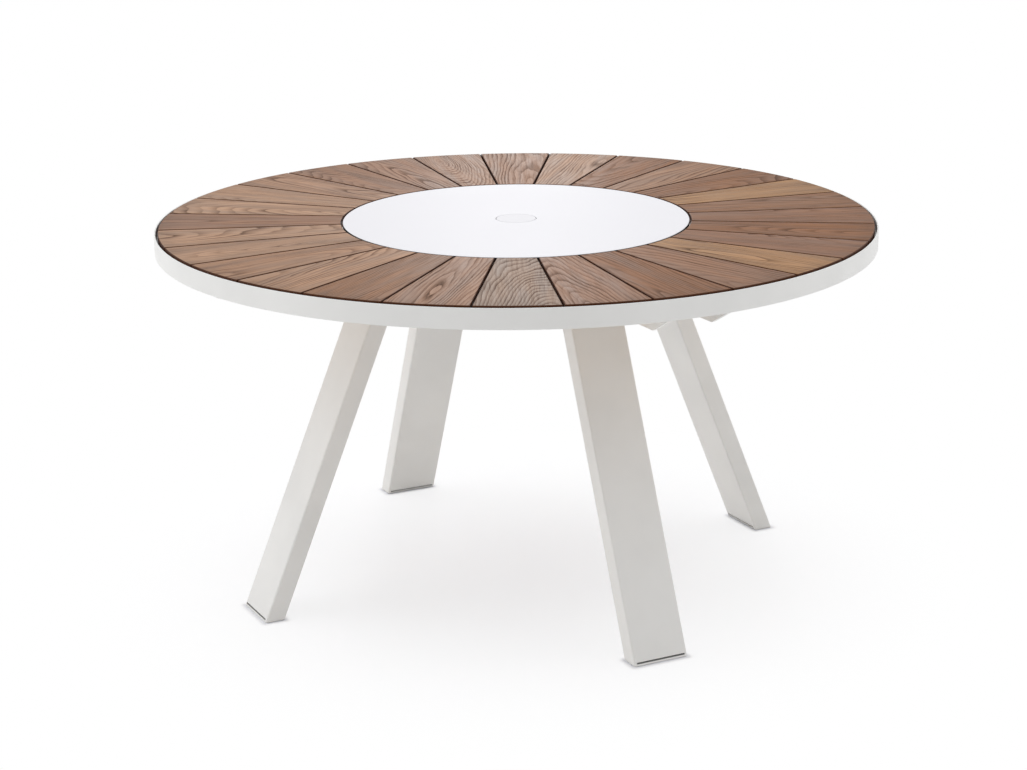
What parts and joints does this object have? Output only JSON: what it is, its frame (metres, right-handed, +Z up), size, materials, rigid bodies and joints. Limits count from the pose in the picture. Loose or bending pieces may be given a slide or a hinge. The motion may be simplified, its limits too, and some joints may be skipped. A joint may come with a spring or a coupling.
{
  "type": "garden table",
  "caption": "Round garden table with radial wood slats in a white rim band, a flush turntable with a parasol cap, and raking flat legs on a crossed plate frame.",
  "frame": {"origin": "centre of the table at floor level", "axes": "+Z up along the turntable's axis, -Y towards the leg nearest the camera, legs along X and Y"},
  "size_m": [1.4398, 1.4398, 0.74],
  "materials": {
    "wood": "oiled thermally treated ash",
    "white_paint": "fine matt powder coat",
    "disc_white": "satin solid laminate",
    "cap_white": "moulded, fine matt",
    "foot_plastic": "moulded",
    "cage_plastic": "moulded nylon",
    "steel": "stainless",
    "aluminium": "mill finish"
  },
  "bodies": {
    "frame": {"slat_01": "wood", "slat_02": "wood", "slat_03": "wood", "slat_04": "wood", "slat_05": "wood", "slat_06": "wood", "slat_07": "wood", "slat_08": "wood", "slat_09": "wood", "slat_10": "wood", "slat_11": "wood", "slat_12": "wood", "slat_13": "wood", "slat_14": "wood", "slat_15": "wood", "slat_16": "wood", "slat_17": "wood", "slat_18": "wood", "slat_19": "wood", "slat_20": "wood", "slat_21": "wood", "slat_22": "wood", "slat_23": "wood", "slat_24": "wood", "slat_25": "wood", "slat_26": "wood", "slat_27": "wood", "slat_28": "wood", "rail_front": "white_paint", "rail_right": "white_paint", "rail_back": "white_paint", "rail_left": "white_paint", "leg_front": "white_paint", "leg_right": "white_paint", "leg_back": "white_paint", "leg_left": "white_paint", "foot_front": "foot_plastic", "foot_right": "foot_plastic", "foot_back": "foot_plastic", "foot_left": "foot_plastic", "rim_band": "white_paint", "outer_support_ring": "white_paint", "inner_support_ring": "white_paint", "inner_ring_stiffeners": "white_paint", "base_plate": "white_paint", "parasol_sleeve": "white_paint", "leg_bolts": "steel", "bearing_outer_ring": "aluminium"},
    "turntable": {"turntable_disc": "disc_white", "bearing_inner_ring": "aluminium"},
    "ball_cage": {"bearing_cage": "cage_plastic", "bearing_balls": "steel"},
    "cap": {"parasol_cap": "cap_white"}
  },
  "joints": [
    {"name": "turntable_spin", "type": "hinge", "parent": "frame", "child": "turntable", "pos_m": [0, 0, 0.725], "axis": [0, 0, 1], "continuous": true},
    {"name": "cage_spin", "type": "hinge", "parent": "frame", "child": "ball_cage", "pos_m": [0, 0, 0.725], "axis": [0, 0, 1], "continuous": true},
    {"name": "cap_lift", "type": "slide", "parent": "turntable", "child": "cap", "axis": [0, 0, 1], "range_m": [0, 0.15]}
  ],
  "couplings": [
    {"joint": "cage_spin", "follows": "turntable_spin", "ratio": 0.49}
  ]
}
